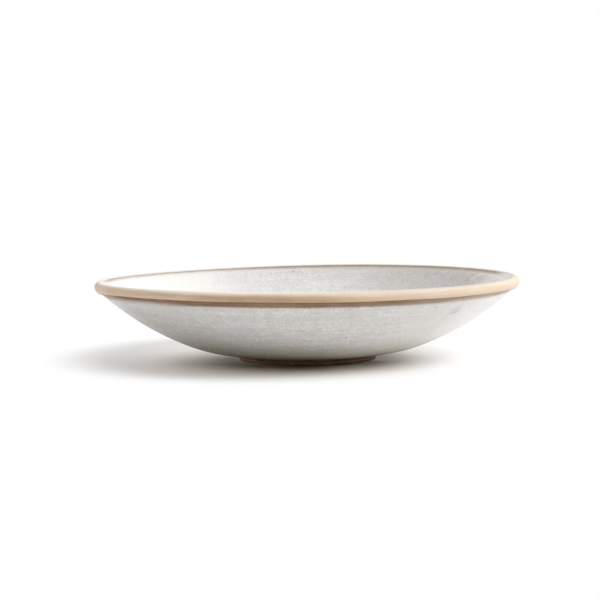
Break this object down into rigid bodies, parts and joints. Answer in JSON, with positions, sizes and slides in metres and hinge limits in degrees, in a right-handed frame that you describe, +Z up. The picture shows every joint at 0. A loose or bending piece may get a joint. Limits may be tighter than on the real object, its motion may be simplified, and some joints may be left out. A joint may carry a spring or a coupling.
{
  "type": "shallow bowl",
  "caption": "Shallow wheel-thrown stoneware bowl with speckled off-white glaze, a bare rounded rim edged by a dark line, and a bare turned foot ring.",
  "frame": {"origin": "on the bowl's axis, in the plane of the foot ring's resting face", "axes": "+Z up along the bowl's axis of turning; X and Y are any two level directions, as the bowl is round"},
  "size_m": [0.23, 0.23, 0.045],
  "materials": {
    "bare_clay": "matte bare stoneware",
    "foot_clay": "matte bare stoneware, turned",
    "glaze": "satin, finely speckled",
    "iron_line": "matte, iron-stained"
  },
  "bodies": {
    "root": {"clay_body": "bare_clay", "rim_bead": "bare_clay", "foot_ring": "foot_clay", "outer_glaze": "glaze", "inner_glaze": "glaze", "base_glaze": "glaze", "outer_line": "iron_line", "inner_line": "iron_line"}
  },
  "joints": []
}
